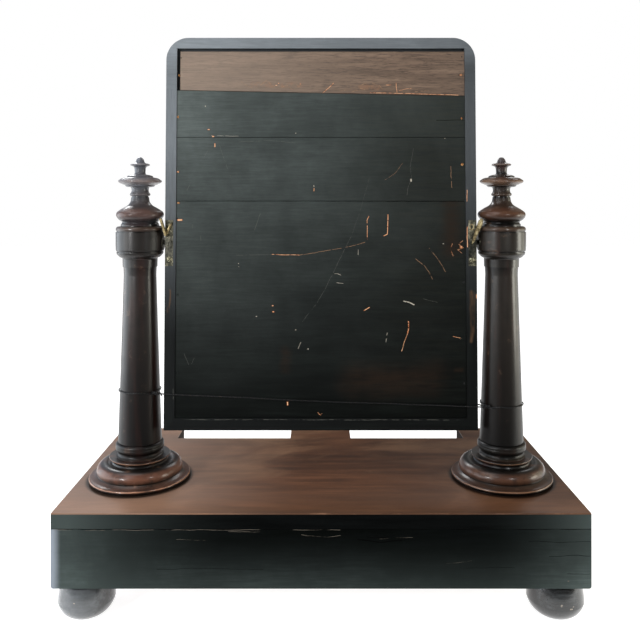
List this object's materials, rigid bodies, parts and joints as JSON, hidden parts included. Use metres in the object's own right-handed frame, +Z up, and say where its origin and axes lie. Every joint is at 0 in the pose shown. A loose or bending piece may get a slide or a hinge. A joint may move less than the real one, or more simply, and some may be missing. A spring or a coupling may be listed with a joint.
{
  "type": "toilet mirror",
  "caption": "Swing mirror with rounded upper corners, hung between two turned columns on a box base with a breakfront drawer and bun feet.",
  "frame": {"origin": "on the ground, under the middle of the base", "axes": "+Z up, +Y towards the back, +X to the right of someone who faces the glass and the drawer"},
  "size_m": [0.564, 0.278, 0.6324],
  "materials": {
    "top_mahogany": "satin",
    "show_mahogany": "satin",
    "frame_mahogany": "satin",
    "worn_turning": "polished",
    "dark_turning": "polished",
    "dark_painted_wood": "matt",
    "bare_plank": "matt",
    "pine_lining": "matt",
    "old_brass": "dull",
    "iron_wire": "dull",
    "silvered_glass": "silvered"
  },
  "bodies": {
    "root": {"back_board": "dark_painted_wood", "block_front_left": "show_mahogany", "block_front_right": "show_mahogany", "bottom_board": "pine_lining", "column_base_left": "worn_turning", "column_base_right": "worn_turning", "column_shaft_left": "dark_turning", "column_shaft_right": "dark_turning", "drawer_cheek_left": "pine_lining", "drawer_cheek_right": "pine_lining", "drawer_runner_left": "pine_lining", "drawer_runner_right": "pine_lining", "drawer_stops": "pine_lining", "end_panel_left": "show_mahogany", "end_panel_right": "show_mahogany", "finial_left": "worn_turning", "finial_right": "worn_turning", "foot_back_left": "dark_turning", "foot_back_right": "dark_turning", "foot_front_left": "dark_turning", "foot_front_right": "dark_turning", "pivot_pin_left": "old_brass", "pivot_pin_right": "old_brass", "tie_wire": "iron_wire", "top_board": "top_mahogany", "top_strip_centre": "top_mahogany", "top_strip_left": "top_mahogany", "top_strip_right": "top_mahogany"},
    "mirror": {"backboard_lower": "dark_painted_wood", "backboard_middle": "dark_painted_wood", "backboard_plank": "bare_plank", "backboard_upper": "dark_painted_wood", "frame_bottom_rail": "frame_mahogany", "frame_stile_left": "frame_mahogany", "frame_stile_right": "frame_mahogany", "frame_top_rail": "frame_mahogany", "glass_blocks": "pine_lining", "looking_glass": "silvered_glass", "pivot_lever_left": "old_brass", "pivot_lever_right": "old_brass", "pivot_plate_left": "old_brass", "pivot_plate_right": "old_brass"},
    "drawer": {"drawer_back": "pine_lining", "drawer_bottom": "pine_lining", "drawer_front": "show_mahogany", "drawer_knob_left": "worn_turning", "drawer_knob_right": "worn_turning", "drawer_side_left": "pine_lining", "drawer_side_right": "pine_lining", "drawer_tablet": "show_mahogany"}
  },
  "joints": [
    {"name": "mirror_swing", "type": "hinge", "parent": "root", "child": "mirror", "pos_m": [0, 0.042, 0.393], "axis": [-1, 0, 0], "range_deg": [0, 60]},
    {"name": "drawer_slide", "type": "slide", "parent": "root", "child": "drawer", "axis": [0, -1, 0], "range_m": [0, 0.15]}
  ]
}
